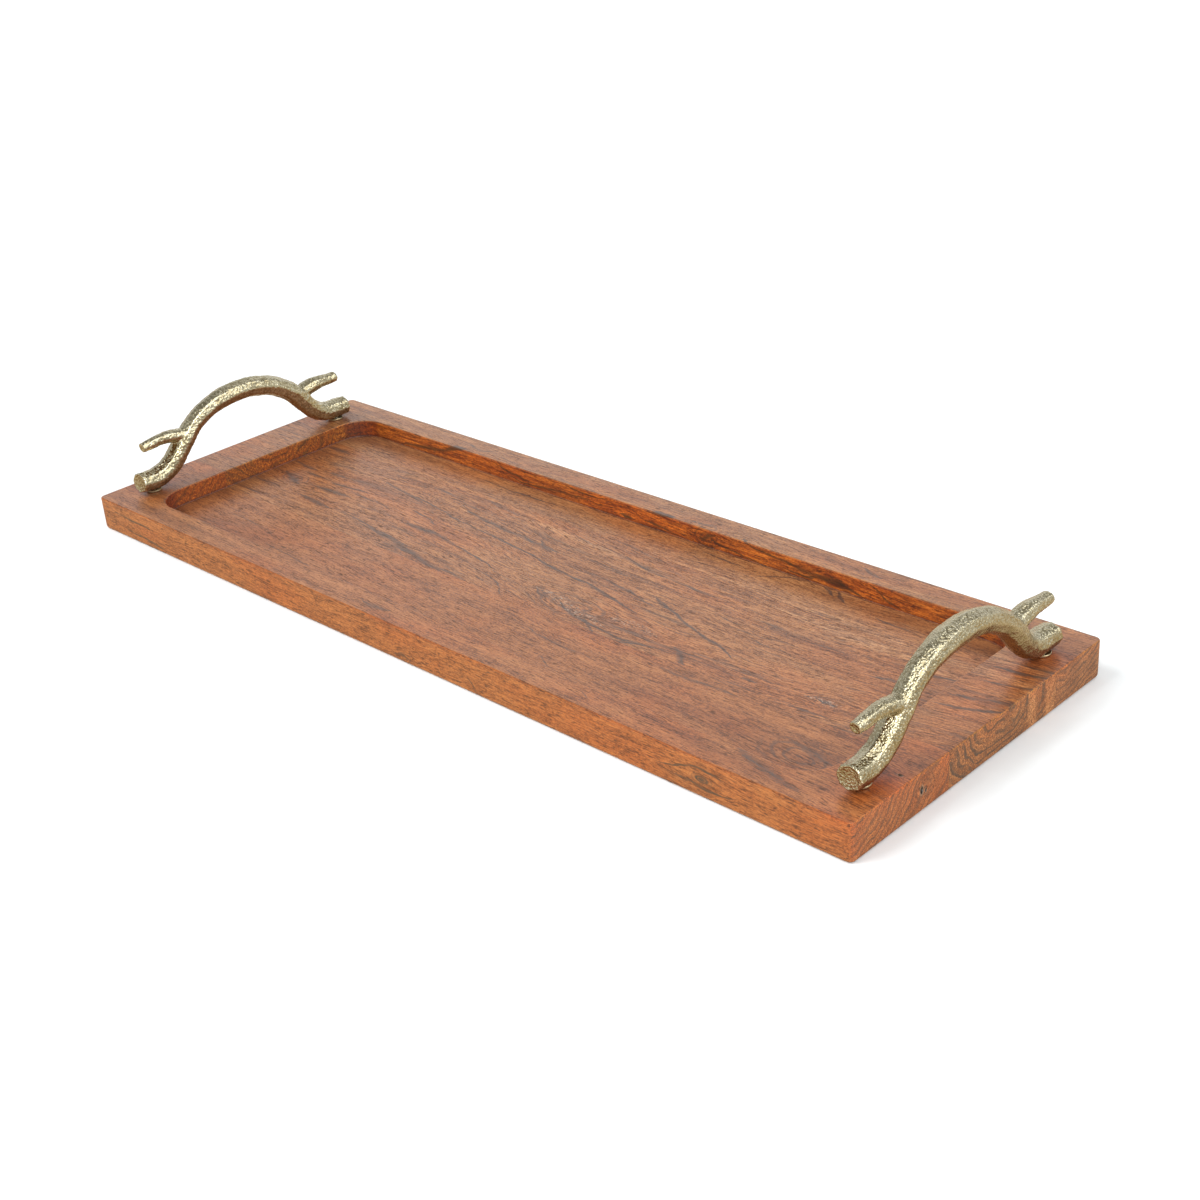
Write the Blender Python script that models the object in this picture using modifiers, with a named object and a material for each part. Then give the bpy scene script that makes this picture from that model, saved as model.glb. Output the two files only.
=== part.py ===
"""Serving tray: an edge-glued hardwood board with a shallow routed recess, and a cast brass
branch-shaped handle bolted across the rim at each end.

Metres, +Z up. The origin is the centre of the board's underside; +X runs along the board and
+Y across it.
"""
import math

import bmesh
import bpy
from mathutils import Matrix, Vector

MM = 0.001
GAP = 0.3 * MM                  # clearance between pieces that touch

# Board
LENGTH = 508 * MM               # 20 in
WIDTH = 178 * MM                # 7 in
THICKNESS = 18.5 * MM           # planed from nominal 3/4 in stock
CORNER_RADIUS = 3 * MM          # upright corners, in plan
TOP_EASE = 0.8 * MM             # sanded upper arris
BOTTOM_ROUND = 2 * MM           # rounded lower arris
JOINT_Y = (-26 * MM, 52 * MM)   # the two glue lines

# Recess
RECESS_LENGTH = 450 * MM
RECESS_WIDTH = 146 * MM
RECESS_FLOOR = 9 * MM           # height of its floor above the underside
RECESS_CORNER = 17 * MM         # plan radius left by the router
RECESS_COVE = 0.8 * MM          # at the foot of its walls
RIM_EASE = 0.6 * MM

# Handles
HANDLE_X = {"left": -236 * MM, "right": 240.5 * MM}
FOOT_Y = {"near": -65 * MM, "far": 62 * MM}     # where the fixings are
FOOT_Z = 20 * MM                # the flat seat filed under each foot
OVAL = 1.12                     # branches are this much wider across X than they are deep
SAWN_EDGE = 0.5 * MM

# Branch centrelines in the handle's own plane: (sway in X, Y, Z, radius), in millimetres.
TRUNK = (
    (0.8, -73.5, 25.9, 5.5), (0.5, -67.5, 25.1, 5.6), (0.3, -61.0, 25.4, 5.7),
    (0.5, -52.2, 29.4, 5.5), (0.7, -44.4, 37.2, 5.3), (0.5, -34.7, 46.4, 5.1),
    (-0.1, -23.2, 52.6, 5.2), (-0.6, -11.5, 55.4, 5.6), (-1.0, 1.0, 56.1, 5.8),
    (-1.0, 15.2, 54.0, 5.7), (-0.5, 27.5, 48.8, 5.6), (0.0, 35.5, 42.4, 5.7),
    (0.1, 42.0, 34.6, 5.5), (-0.3, 48.4, 28.6, 5.4), (-0.7, 56.5, 25.2, 5.6),
    (-0.6, 63.5, 25.0, 5.6), (0.0, 70.0, 25.2, 5.2),
)
NEAR_TWIG = (
    (0.5, -39.5, 42.6, 4.2), (0.1, -46.0, 44.2, 3.8), (-0.6, -53.2, 44.8, 3.3),
    (-0.8, -60.0, 44.4, 3.0), (-1.2, -67.0, 43.6, 2.8),
)
FAR_TWIG = (
    (0.0, 35.5, 40.6, 4.6), (-0.5, 44.0, 42.8, 4.3), (-0.5, 51.5, 43.9, 4.0),
    (-0.2, 59.0, 43.9, 3.5), (0.2, 65.5, 44.1, 3.0),
)

# Fixings: an M4 x 20 pan head machine screw up into each foot
SCREW_RADIUS = 2.0 * MM
SCREW_LENGTH = 20 * MM
HEAD_RADIUS = 4.0 * MM
HEAD_HEIGHT = 2.9 * MM
HOLE_RADIUS = SCREW_RADIUS + GAP
COUNTERBORE_RADIUS = 5 * MM
COUNTERBORE_DEPTH = 6 * MM
WASHER_RADIUS = 4.5 * MM
WASHER_THICKNESS = 0.8 * MM
SPACER_RADIUS = 4.3 * MM        # the plain ring between a foot and the board
BORE_TOP = 25.2 * MM            # end of the tapped bore in the casting

HEAD_SEAT = COUNTERBORE_DEPTH - 2 * GAP - WASHER_THICKNESS
TURN_STEPS = 32


def clear_scene():
    for obj in list(bpy.data.objects):
        bpy.data.objects.remove(obj, do_unlink=True)


def collection(name):
    made = bpy.data.collections.new(name)
    bpy.context.scene.collection.children.link(made)
    return made


def material(name, colour, roughness, metallic):
    mat = bpy.data.materials.new(name)
    mat.use_nodes = True
    shader = mat.node_tree.nodes["Principled BSDF"]
    shader.inputs["Base Color"].default_value = (*colour, 1)
    shader.inputs["Roughness"].default_value = roughness
    shader.inputs["Metallic"].default_value = metallic
    mat.diffuse_color = (*colour, 1)
    return mat


def add_object(name, mesh, where, location=(0, 0, 0)):
    obj = bpy.data.objects.new(name, mesh)
    obj.location = location
    where.objects.link(obj)
    if where is cutters:
        obj.hide_render = True
        obj.display_type = "WIRE"
    return obj


def mesh_from(bm, name):
    mesh = bpy.data.meshes.new(name)
    bm.to_mesh(mesh)
    bm.free()
    return mesh


def smooth(obj, degrees=35):
    obj.data.shade_smooth()
    obj.data.set_sharp_from_angle(angle=math.radians(degrees))


def box(lower, upper):
    """A box between two corners, as a new bmesh."""
    lower, upper = Vector(lower), Vector(upper)
    bm = bmesh.new()
    size = upper - lower
    bmesh.ops.create_cube(bm, size=1, matrix=Matrix.Translation((lower + upper) / 2)
                          @ Matrix.Diagonal((*size, 1)))
    return bm


def bevel(bm, edges, width, segments):
    bmesh.ops.bevel(bm, geom=edges, offset=width, segments=segments, profile=0.5,
                    affect="EDGES", clamp_overlap=True)


def upright_edges(bm):
    return [e for e in bm.edges if abs(e.verts[0].co.z - e.verts[1].co.z) > MM]


def edges_at(bm, height):
    return [e for e in bm.edges if all(abs(v.co.z - height) < 1e-6 for v in e.verts)]


def boolean(obj, other, operation="DIFFERENCE"):
    mod = obj.modifiers.new(operation.title(), "BOOLEAN")
    mod.operation = operation
    mod.solver = "EXACT"
    mod.object = other


def evaluated_mesh(obj):
    """The mesh that an object shows with its modifiers, as a plain new mesh."""
    depsgraph = bpy.context.evaluated_depsgraph_get()
    return bpy.data.meshes.new_from_object(obj.evaluated_get(depsgraph))


def turned(name, profile, where, location, closed):
    """A profile of (radius, height) points turned about a vertical axis at location.

    An open profile starts and ends on the axis; a closed one makes a ring.
    """
    bm = bmesh.new()
    points = [bm.verts.new((radius, 0, height)) for radius, height in profile]
    for a, b in zip(points, points[1:] + (points[:1] if closed else [])):
        bm.edges.new((a, b))
    obj = add_object(name, mesh_from(bm, name), where, location)
    mod = obj.modifiers.new("Screw", "SCREW")
    mod.axis = "Z"
    mod.steps = mod.render_steps = TURN_STEPS
    mod.use_merge_vertices = True
    mod.merge_threshold = 0.00001
    mod.use_smooth_shade = False
    return obj


def board_blank():
    """The whole board before it is routed: a block with eased and rounded arrises."""
    bm = box((-LENGTH / 2, -WIDTH / 2, 0), (LENGTH / 2, WIDTH / 2, THICKNESS))
    bevel(bm, upright_edges(bm), CORNER_RADIUS, 4)
    bevel(bm, edges_at(bm, 0), BOTTOM_ROUND, 3)
    bevel(bm, edges_at(bm, THICKNESS), TOP_EASE, 2)
    return mesh_from(bm, "board_blank")


def recess_cutter():
    """The routed recess, flaring at its mouth to ease the rim's inner arris."""
    x, y = RECESS_LENGTH / 2, RECESS_WIDTH / 2
    mouth = THICKNESS - RIM_EASE
    bm = box((-x, -y, RECESS_FLOOR), (x, y, mouth))
    bevel(bm, upright_edges(bm), RECESS_CORNER, 8)
    bevel(bm, edges_at(bm, RECESS_FLOOR), RECESS_COVE, 3)
    flare = Vector(((x + RIM_EASE) / x, (y + RIM_EASE) / y, 1))
    for rise, scale in ((RIM_EASE, flare), (5 * MM, None)):
        top = max(bm.faces, key=lambda f: (round(f.calc_center_median().z, 6), f.calc_area()))
        moved = bmesh.ops.extrude_face_region(bm, geom=[top])
        bm.faces.remove(top)
        verts = [v for v in moved["geom"] if isinstance(v, bmesh.types.BMVert)]
        bmesh.ops.translate(bm, vec=(0, 0, rise), verts=verts)
        if scale:
            bmesh.ops.scale(bm, vec=scale, verts=verts)
    bmesh.ops.recalc_face_normals(bm, faces=bm.faces)
    return add_object("recess_cut", mesh_from(bm, "recess_cut"), cutters)


def screw_hole(name, location):
    """Clearance hole and counterbore for one screw, from below the board to above it."""
    under, over = -2 * MM, THICKNESS + 2 * MM
    return turned(name, [(0, over), (HOLE_RADIUS, over), (HOLE_RADIUS, COUNTERBORE_DEPTH),
                         (COUNTERBORE_RADIUS, COUNTERBORE_DEPTH), (COUNTERBORE_RADIUS, under),
                         (0, under)], cutters, location, closed=False)


def branch(name, points):
    """A round branch along (x, y, z, radius) points, with its sawn ends' arrises taken off."""
    curve = bpy.data.curves.new(name, "CURVE")
    curve.dimensions = "3D"
    curve.resolution_u = 4
    curve.bevel_depth = MM
    curve.bevel_resolution = 2
    curve.use_fill_caps = True
    spline = curve.splines.new("BEZIER")
    spline.bezier_points.add(len(points) - 1)
    for knot, (x, y, z, radius) in zip(spline.bezier_points, points):
        knot.co = Vector((x / OVAL, y, z)) * MM
        knot.radius = radius
        knot.handle_left_type = knot.handle_right_type = "AUTO"
    rod = bpy.data.objects.new(name, curve)
    cutters.objects.link(rod)
    bm = bmesh.new()
    bm.from_mesh(evaluated_mesh(rod))
    bpy.data.objects.remove(rod, do_unlink=True)
    bmesh.ops.remove_doubles(bm, verts=bm.verts, dist=0.00001)
    caps = [f for f in bm.faces if len(f.verts) > 4]
    bevel(bm, [e for f in caps for e in f.edges], SAWN_EDGE, 2)
    bmesh.ops.scale(bm, vec=(OVAL, 1, 1), verts=bm.verts)
    bmesh.ops.recalc_face_normals(bm, faces=bm.faces)
    return add_object(name, mesh_from(bm, name), cutters)


def handle_mesh():
    """The casting: trunk and two twigs in one, with two filed seats and two tapped bores."""
    trunk = branch("trunk", TRUNK)
    tools = [(branch("near_twig", NEAR_TWIG), "UNION"), (branch("far_twig", FAR_TWIG), "UNION")]
    seat = box((-20 * MM, -90 * MM, 0), (20 * MM, 90 * MM, FOOT_Z))
    tools.append((add_object("seat_cut", mesh_from(seat, "seat_cut"), cutters), "DIFFERENCE"))
    drill_point = BORE_TOP + HOLE_RADIUS * math.tan(math.radians(31))
    for y in FOOT_Y.values():
        bore = turned("foot_bore", [(0, drill_point), (HOLE_RADIUS, BORE_TOP),
                                    (HOLE_RADIUS, 10 * MM), (0, 10 * MM)],
                      cutters, (0, y, 0), closed=False)
        tools.append((bore, "DIFFERENCE"))
    for tool, operation in tools:
        boolean(trunk, tool, operation)
    mesh = evaluated_mesh(trunk)
    mesh.name = "handle"
    for obj in [trunk] + [tool for tool, _ in tools]:
        bpy.data.objects.remove(obj, do_unlink=True)
    return mesh


def build_board():
    recess = recess_cutter()
    holes = {"near": [], "far": []}
    for side, x in HANDLE_X.items():
        for end, y in FOOT_Y.items():
            holes[end].append(screw_hole(f"hole_{side}_{end}", (x, y, 0)))
    edges_y = (-WIDTH, *JOINT_Y, WIDTH)
    staves = (("stave_front", holes["near"]), ("stave_centre", []), ("stave_back", holes["far"]))
    for i, (name, drilled) in enumerate(staves):
        stave = add_object(name, board_blank(), parts)
        slab = box((-LENGTH, edges_y[i] + GAP / 2, -THICKNESS),
                   (LENGTH, edges_y[i + 1] - GAP / 2, 2 * THICKNESS))
        boolean(stave, add_object(f"{name}_slab", mesh_from(slab, "slab"), cutters), "INTERSECT")
        boolean(stave, recess)
        for hole in drilled:
            boolean(stave, hole)
        stave.data.materials.append(wood[name])
        smooth(stave)


def build_handle(side, mesh):
    x = HANDLE_X[side]
    handle = add_object(f"handle_{side}", mesh, parts, (x, 0, 0))
    smooth(handle)
    for end, y in FOOT_Y.items():
        build_fixing(f"{side}_{end}", (x, y, 0))


def ring(name, radius, bottom, top, at, mat):
    """A flat ring on a screw, with its outer arrises broken."""
    ease = 0.15 * MM
    inner = HOLE_RADIUS
    obj = turned(name, [(inner, top), (radius - ease, top), (radius, top - ease),
                        (radius, bottom + ease), (radius - ease, bottom), (inner, bottom)],
                 parts, at, closed=True)
    obj.data.materials.append(mat)
    smooth(obj)


def build_fixing(place, at):
    """One foot's spacer ring, screw and washer."""
    ring(f"foot_spacer_{place}", SPACER_RADIUS, THICKNESS + GAP, FOOT_Z - GAP, at, brass)
    ring(f"screw_washer_{place}", WASHER_RADIUS, HEAD_SEAT + GAP,
         HEAD_SEAT + GAP + WASHER_THICKNESS, at, steel)
    tip = HEAD_SEAT + SCREW_LENGTH
    low = HEAD_SEAT - HEAD_HEIGHT
    chamfer = 0.5 * MM
    profile = [(0, tip), (SCREW_RADIUS - chamfer, tip), (SCREW_RADIUS, tip - chamfer),
               (SCREW_RADIUS, HEAD_SEAT), (HEAD_RADIUS, HEAD_SEAT)]
    for step in range(6):                       # the pan head's rounded shoulder
        turn = math.radians(18 * step)
        profile.append((HEAD_RADIUS * (0.55 + 0.45 * math.cos(turn)),
                        low + HEAD_HEIGHT * (0.65 - 0.65 * math.sin(turn))))
    profile.append((0, low))
    screw = turned(f"screw_{place}", profile, parts, at, closed=False)
    for turn, arm in enumerate(("a", "b")):     # cross recess for the driver
        slot = box((-2.1 * MM, -0.5 * MM, low - MM), (2.1 * MM, 0.5 * MM, low + 1.7 * MM))
        cut = add_object(f"cross_{place}_{arm}", mesh_from(slot, "cross"), cutters, at)
        cut.rotation_euler.z = turn * math.pi / 2
        boolean(screw, cut)
    screw.data.materials.append(steel)
    smooth(screw)


clear_scene()
parts = collection("serving_tray")
cutters = collection("cutters")

wood = {
    "stave_front": material("wood_front", (0.42, 0.16, 0.065), 0.38, 0),
    "stave_centre": material("wood_centre", (0.38, 0.15, 0.068), 0.38, 0),
    "stave_back": material("wood_back", (0.36, 0.13, 0.055), 0.38, 0),
}
brass = material("cast_brass", (0.60, 0.52, 0.32), 0.33, 1)
steel = material("zinc_steel", (0.62, 0.63, 0.65), 0.35, 1)

build_board()
casting = handle_mesh()
casting.materials.append(brass)
for place in HANDLE_X:
    build_handle(place, casting)
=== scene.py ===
"""The looks of the serving tray: an oiled acacia board with hammered cast brass handles.

The origin is the centre of the board's underside, +X along the board, +Y across it, +Z up.
Meshes are in metres. The shaders work in millimetres of the same frame.
"""
from collections import namedtuple
import math

import bmesh
import bpy
from mathutils import Matrix, Vector, noise


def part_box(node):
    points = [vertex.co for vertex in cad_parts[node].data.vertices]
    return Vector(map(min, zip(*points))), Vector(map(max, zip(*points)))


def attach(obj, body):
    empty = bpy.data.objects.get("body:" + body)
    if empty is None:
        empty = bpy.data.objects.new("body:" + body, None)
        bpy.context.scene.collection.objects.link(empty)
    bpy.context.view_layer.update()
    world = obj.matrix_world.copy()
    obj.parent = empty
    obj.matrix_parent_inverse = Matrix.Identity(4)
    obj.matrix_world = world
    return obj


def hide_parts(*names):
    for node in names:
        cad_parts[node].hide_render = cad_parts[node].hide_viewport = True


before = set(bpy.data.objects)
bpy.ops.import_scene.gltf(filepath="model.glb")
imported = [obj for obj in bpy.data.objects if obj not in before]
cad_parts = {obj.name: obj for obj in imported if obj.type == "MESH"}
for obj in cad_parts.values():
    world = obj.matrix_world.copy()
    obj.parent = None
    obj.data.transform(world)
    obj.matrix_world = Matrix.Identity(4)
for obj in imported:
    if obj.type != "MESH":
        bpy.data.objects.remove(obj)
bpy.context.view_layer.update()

MM = 0.001
noise.seed_set(5)               # without it, noise_vector differs from run to run

# The board, from the frame
FRONT, CENTRE, BACK = (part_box(f"stave_{place}") for place in ("front", "centre", "back"))
LENGTH = FRONT[1].x - FRONT[0].x
WIDTH = BACK[1].y - FRONT[0].y
THICKNESS = FRONT[1].z
JOINT_FRONT = (FRONT[1].y + CENTRE[0].y) / 2
JOINT_BACK = (CENTRE[1].y + BACK[0].y) / 2
CORNER_RADIUS = 3 * MM
TOP_EASE = 0.7 * MM
BOTTOM_ROUND = 2 * MM
RECESS_LENGTH = 450 * MM
RECESS_WIDTH = 146 * MM
RECESS_FLOOR = 9 * MM
RECESS_CORNER = 17 * MM
RECESS_COVE = 0.4 * MM
RIM_EASE = 0.7 * MM
COUNTERBORE_RADIUS = 5 * MM
COUNTERBORE_DEPTH = 6 * MM
HOLE_RADIUS = 2.3 * MM
HOLE_SIDES = 48

# Hollows left by loose knots, as (centre, half size) in mm: in the right end and on its rim
PITS = (((254, -44.3, 10.4), (1.3, 0.9, 1.6)), ((254, -41.6, 9.2), (0.5, 0.5, 0.8)),
        ((248.6, -51.0, 18.5), (0.9, 0.6, 0.7)), ((43.0, -19.5, 9.0), (1.2, 0.35, 0.4)))

# The handles' surface
VOXEL = 0.36 * MM
SMOOTHING_STEPS = 22
SKIN = 0.12                     # mm that the smoothing takes off, put back
TWIG_LEVEL = 36 * MM            # sawn ends above this belong to twigs
END_ZONE = 60 * MM              # sawn ends lie further from the middle than this

# Camera and light
CAMERA_AZIMUTH = 45.78          # degrees, from -Y towards +X
CAMERA_ELEVATION = 27.09
CAMERA_ROLL = -4.32
CAMERA_AIM = Vector((0.0213, 0.0182, -0.0051))
CAMERA_DISTANCE = 0.8817
CAMERA_LENS = 53.81             # mm, on a 36 mm sensor


# ---------------------------------------------------------------- meshes

def mesh_object(name, bm):
    mesh = bpy.data.meshes.new(name)
    bm.to_mesh(mesh)
    bm.free()
    obj = bpy.data.objects.new(name, mesh)
    bpy.context.scene.collection.objects.link(obj)
    return obj


def evaluated_mesh(obj):
    """The mesh that an object shows with its modifiers, as a plain new mesh."""
    depsgraph = bpy.context.evaluated_depsgraph_get()
    return bpy.data.meshes.new_from_object(obj.evaluated_get(depsgraph))


def rounded_outline(half_x, half_y, radius, steps):
    """Points round a rectangle with arcs at its corners, anticlockwise from above."""
    points = []
    for quarter, (sx, sy) in enumerate(((1, 1), (-1, 1), (-1, -1), (1, -1))):
        centre = Vector((sx * (half_x - radius), sy * (half_y - radius)))
        for step in range(steps + 1):
            turn = math.pi / 2 * (quarter + step / steps)
            points.append(centre + radius * Vector((math.cos(turn), math.sin(turn))))
    return points


def arc_steps(count):
    """Pairs (1 - cos, sin) round a quarter turn, from (0, 0) to (1, 1)."""
    turns = [math.pi / 2 * step / count for step in range(count + 1)]
    return [(1 - math.cos(turn), math.sin(turn)) for turn in turns]


def close_rings(bm, rings):
    """Joins rings of vertices, each above the one before, into a closed solid."""
    for low, high in zip(rings, rings[1:]):
        for i in range(len(low)):
            j = (i + 1) % len(low)
            bm.faces.new((low[i], low[j], high[j], high[i]))
    bm.faces.new(reversed(rings[0]))
    bm.faces.new(rings[-1])
    return bm


def stacked_solid(half_x, half_y, radius, steps, profile):
    """A closed solid of rounded rectangles, one for each (inset, height) in the profile."""
    bm = bmesh.new()
    rings = []
    for inset, height in profile:
        outline = rounded_outline(half_x - inset, half_y - inset, radius - inset, steps)
        rings.append([bm.verts.new((x, y, height)) for x, y in outline])
    return close_rings(bm, rings)


def board_blank():
    round_down = [(BOTTOM_ROUND * (1 - s), BOTTOM_ROUND * c) for c, s in arc_steps(6)]
    ease_up = [(TOP_EASE * c, THICKNESS - TOP_EASE * (1 - s)) for c, s in arc_steps(4)]
    return stacked_solid(LENGTH / 2, WIDTH / 2, CORNER_RADIUS, 10, round_down + ease_up)


def recess_cutter():
    cove = [(RECESS_COVE * (1 - s), RECESS_FLOOR + RECESS_COVE * c) for c, s in arc_steps(6)]
    ease = [(-RIM_EASE * c, THICKNESS - RIM_EASE * (1 - s)) for c, s in arc_steps(4)]
    above = [(-RIM_EASE, THICKNESS + 5 * MM)]
    profile = cove + ease + above
    return stacked_solid(RECESS_LENGTH / 2, RECESS_WIDTH / 2, RECESS_CORNER, 24, profile)


def slab(low_y, high_y):
    bm = bmesh.new()
    size = Vector((2 * LENGTH, high_y - low_y, 4 * THICKNESS))
    place = Matrix.Translation((0, (low_y + high_y) / 2, 0)) @ Matrix.Diagonal((*size, 1))
    bmesh.ops.create_cube(bm, size=1, matrix=place)
    return bm


def screw_hole(x, y):
    """A counterbore and the clearance hole above it, from under the board to above it."""
    bm = bmesh.new()
    levels = ((COUNTERBORE_RADIUS, -MM), (COUNTERBORE_RADIUS, COUNTERBORE_DEPTH),
              (HOLE_RADIUS, COUNTERBORE_DEPTH), (HOLE_RADIUS, THICKNESS + MM))
    turns = [2 * math.pi * i / HOLE_SIDES for i in range(HOLE_SIDES)]
    rings = [[bm.verts.new((x + radius * math.cos(t), y + radius * math.sin(t), height))
              for t in turns] for radius, height in levels]
    return close_rings(bm, rings)


def pit(centre, size):
    """A small rough hollow left by a loose knot, cut where it breaks the surface."""
    bm = bmesh.new()
    bmesh.ops.create_icosphere(bm, subdivisions=4, radius=1)
    for vert in bm.verts:
        vert.co *= 1 + 0.35 * noise.noise(vert.co * 1.7)
        vert.co = Vector([a * b + c for a, b, c in zip(vert.co, size, centre)]) * MM
    return bm


def cut(obj, tool, operation):
    mod = obj.modifiers.new(operation.title(), "BOOLEAN")
    mod.operation = operation
    mod.solver = "EXACT"
    mod.object = tool


def make_stave(name, node, low_y, high_y, material):
    """One stave of the board, cut from the whole blank so that all three meet exactly."""
    stave = mesh_object(name, board_blank())
    tools = [mesh_object("slab", slab(low_y, high_y)), mesh_object("recess", recess_cutter())]
    for side in ("left", "right"):
        for end in ("near", "far"):
            low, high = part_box(f"foot_spacer_{side}_{end}")
            x, y = (low.x + high.x) / 2, (low.y + high.y) / 2
            if low_y < y < high_y:
                tools.append(mesh_object("hole", screw_hole(x, y)))
    for centre, size in PITS:
        if low_y < centre[1] * MM < high_y:
            tools.append(mesh_object("pit", pit(centre, size)))
    for tool in tools:
        cut(stave, tool, "INTERSECT" if tool is tools[0] else "DIFFERENCE")
    mesh = evaluated_mesh(stave)
    stave.modifiers.clear()
    stave.data = mesh
    for tool in tools:
        bpy.data.objects.remove(tool, do_unlink=True)
    mesh.shade_smooth()
    mesh.set_sharp_from_angle(angle=math.radians(40))
    normals = stave.modifiers.new("Flat faces stay flat", "WEIGHTED_NORMAL")
    normals.keep_sharp = True
    mesh.materials.append(material)
    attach(stave, "root")
    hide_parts(node)
    return stave


def sawn_ends(mesh):
    """Centre, outward direction and radius of a casting's four flat branch ends."""
    ends = []
    for sign in (-1, 1):
        for high in (False, True):
            flat = [f for f in mesh.polygons
                    if f.normal.y * sign > 0.93 and f.center.y * sign > END_ZONE
                    and (f.center.z > TWIG_LEVEL) == high]
            area = sum(f.area for f in flat)
            centre = sum((f.center * f.area for f in flat), Vector()) / area
            direction = sum((f.normal * f.area for f in flat), Vector()).normalized()
            ends.append((centre, direction, math.sqrt(area / math.pi)))
    return ends


def hammered(point, coarse):
    """Height in mm of the cast surface's lumps, bark ridges and pebbles, at a point in mm.

    coarse is how much wider the pebbles are than 1.2 mm.
    """
    stretched = Vector((point.x, point.y * 0.4, point.z * 0.7))
    lumps = noise.noise(point * 0.11) * 0.42
    ridges = noise.noise(stretched * 0.5) * 0.16
    spot = point * 0.85 / coarse + noise.noise_vector(point * 0.4) * 0.5
    pebbles = (0.5 - noise.voronoi(spot)[0][0]) * 0.20 * coarse
    return lumps + ridges + pebbles


def rough_cast(mesh, ends, x, coarse):
    """Moves a casting's vertices into its hammered surface and its ringed, dished sawn ends."""
    moves = []
    for vert in mesh.vertices:
        point = (vert.co - Vector((x, 0, 0))) / MM
        height = SKIN + hammered(point, coarse)
        normal = vert.normal
        for centre, direction, radius in ends:
            away = vert.co - centre
            along = away.dot(direction)
            if abs(along) < 1.5 * MM and away.length < radius * 1.6:
                across = (away - along * direction).length / MM
                facing = max(0.0, normal.dot(direction)) ** 2
                rings = math.sin(across * 4.2 + noise.noise(point * 0.5) * 5.0) * 0.07
                lip = 0.35 * math.exp(-((across - radius / MM * 0.92) / 0.9) ** 2)
                dish = 0.45 * (across * MM / radius) ** 2 - 0.45
                height = height * (1 - facing) + (rings + lip + dish) * facing
        moves.append(normal * height * MM)
    for vert, move in zip(mesh.vertices, moves):
        vert.co += move


def make_handle(side, material, coarse):
    """A casting remeshed from its CAD solid, with soft fillets and a hammered skin."""
    node = f"handle_{side}"
    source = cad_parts[node].data.copy()
    bm = bmesh.new()
    bm.from_mesh(source)
    bmesh.ops.remove_doubles(bm, verts=bm.verts, dist=0.001 * MM)
    handle = mesh_object(f"{side}_branch_casting", bm)
    ends = sawn_ends(handle.data)
    remesh = handle.modifiers.new("Even mesh", "REMESH")
    remesh.mode = "VOXEL"
    remesh.voxel_size = VOXEL
    soften = handle.modifiers.new("Soft fillets", "SMOOTH")
    soften.factor = 0.6
    soften.iterations = SMOOTHING_STEPS
    mesh = evaluated_mesh(handle)
    handle.modifiers.clear()
    handle.data = mesh
    low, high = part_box(node)
    rough_cast(mesh, ends, (low.x + high.x) / 2, coarse)
    mesh.shade_smooth()
    mesh.materials.clear()
    mesh.materials.append(material)
    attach(handle, "root")
    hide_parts(node)
    return handle


# ---------------------------------------------------------------- shader graphs

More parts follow.
